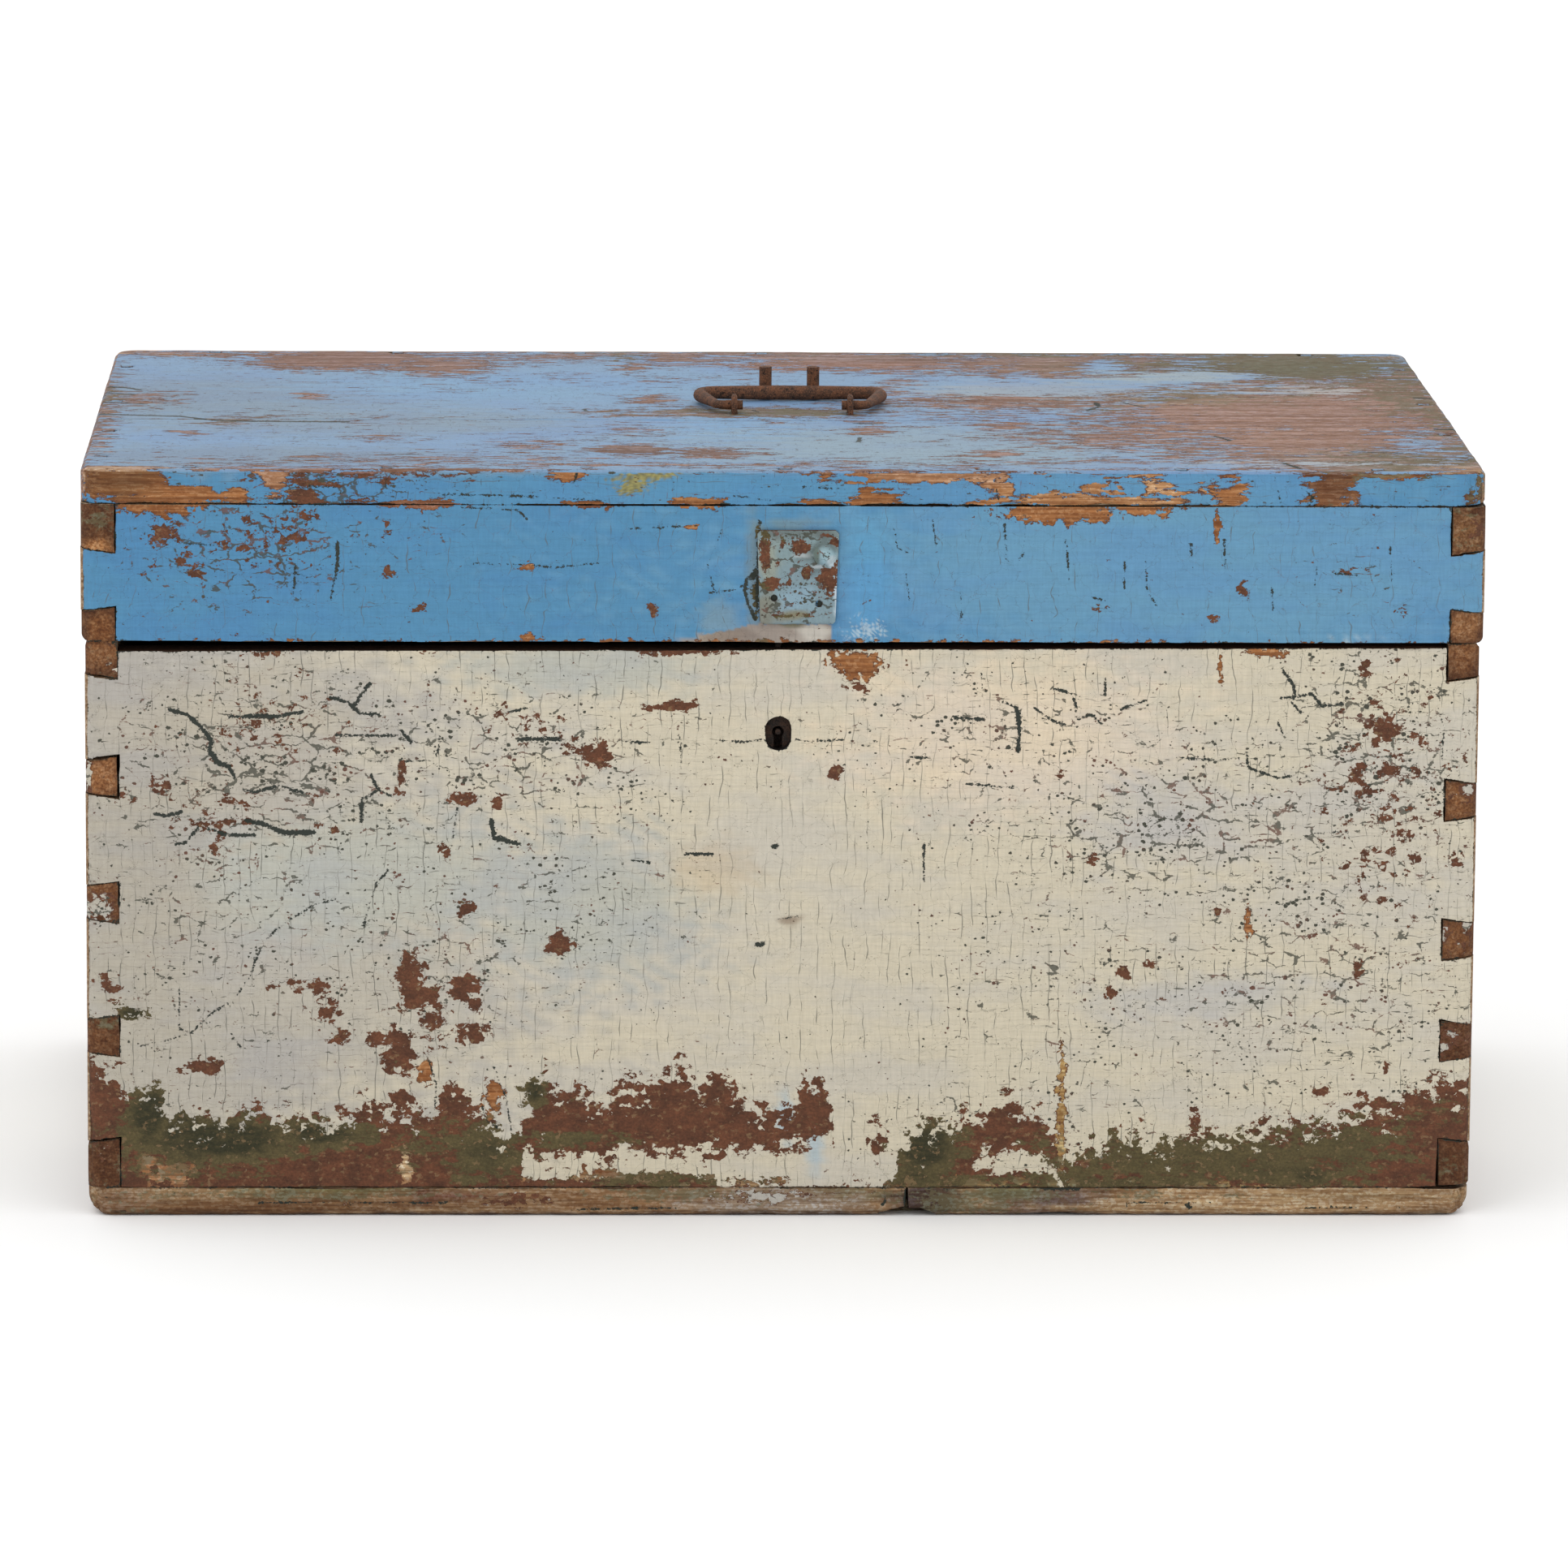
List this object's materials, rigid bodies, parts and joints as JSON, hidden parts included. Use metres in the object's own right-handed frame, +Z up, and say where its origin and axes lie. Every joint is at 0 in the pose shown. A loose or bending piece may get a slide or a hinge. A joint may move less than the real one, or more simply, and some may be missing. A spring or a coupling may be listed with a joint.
{
  "type": "painted chest",
  "caption": "Dovetailed pine chest with a hinged lid, a forged bail on top, a let-in lock and a riveted hasp leaf; worn paint in cream and blue.",
  "frame": {"origin": "middle of the flat underside of the bottom boards, on the floor, below the middle of the box", "axes": "+Z up, -Y out of the front with the keyhole, +X to the right as seen from the front"},
  "size_m": [0.8, 0.5149, 0.4535],
  "materials": {
    "box_paint": "old cream oil paint, crazed and flaked to red-brown primer and pine",
    "rim_paint": "mid-blue oil paint with hairline cracks and chips to bare pine",
    "lid_paint": "faded blue paint, worn through along the grain to brown",
    "bare_pine": "bare, dirty, weathered pine",
    "iron": "rusted wrought iron",
    "painted_iron": "sheet iron under chipped pale blue-grey paint"
  },
  "bodies": {
    "chest": {"front_board": "box_paint", "back_board": "box_paint", "left_side_board": "box_paint", "right_side_board": "box_paint", "bottom_front_board": "bare_pine", "bottom_middle_board": "bare_pine", "bottom_rear_board": "bare_pine", "bottom_nails": "iron", "hinge_leaf_box_left": "iron", "hinge_leaf_box_right": "iron", "hinge_pin_left": "iron", "hinge_pin_right": "iron", "hinge_screws_box": "iron", "lock_case": "iron", "lock_back_plate": "iron", "lock_screws": "iron"},
    "bolt": {"lock_bolt": "iron"},
    "lid": {"lid_top_front_board": "lid_paint", "lid_top_rear_board": "lid_paint", "lid_front_rim": "rim_paint", "lid_back_rim": "rim_paint", "lid_left_rim": "rim_paint", "lid_right_rim": "rim_paint", "lid_nails": "iron", "hinge_leaf_lid_left": "iron", "hinge_leaf_lid_right": "iron", "hinge_screws_lid": "iron", "hasp_leaf": "painted_iron", "hasp_rivet": "painted_iron", "rivet_washer": "iron", "lock_catch": "iron", "catch_screws": "iron", "bail_staple_left": "iron", "bail_staple_right": "iron", "stub_pin_left": "iron", "stub_pin_right": "iron"},
    "bail": {"bail_handle": "iron"}
  },
  "joints": [
    {"name": "lid_hinge", "type": "hinge", "parent": "chest", "child": "lid", "pos_m": [0, 0.255, 0.3355], "axis": [-1, 0, 0], "range_deg": [0, 180]},
    {"name": "bail_pivot", "type": "hinge", "parent": "lid", "child": "bail", "pos_m": [0.011, -0.019, 0.43915], "axis": [1, 0, 0], "range_deg": [0, 180]},
    {"name": "bolt_slide", "type": "slide", "parent": "chest", "child": "bolt", "axis": [-1, 0, 0], "range_m": [0, 0.01]}
  ]
}
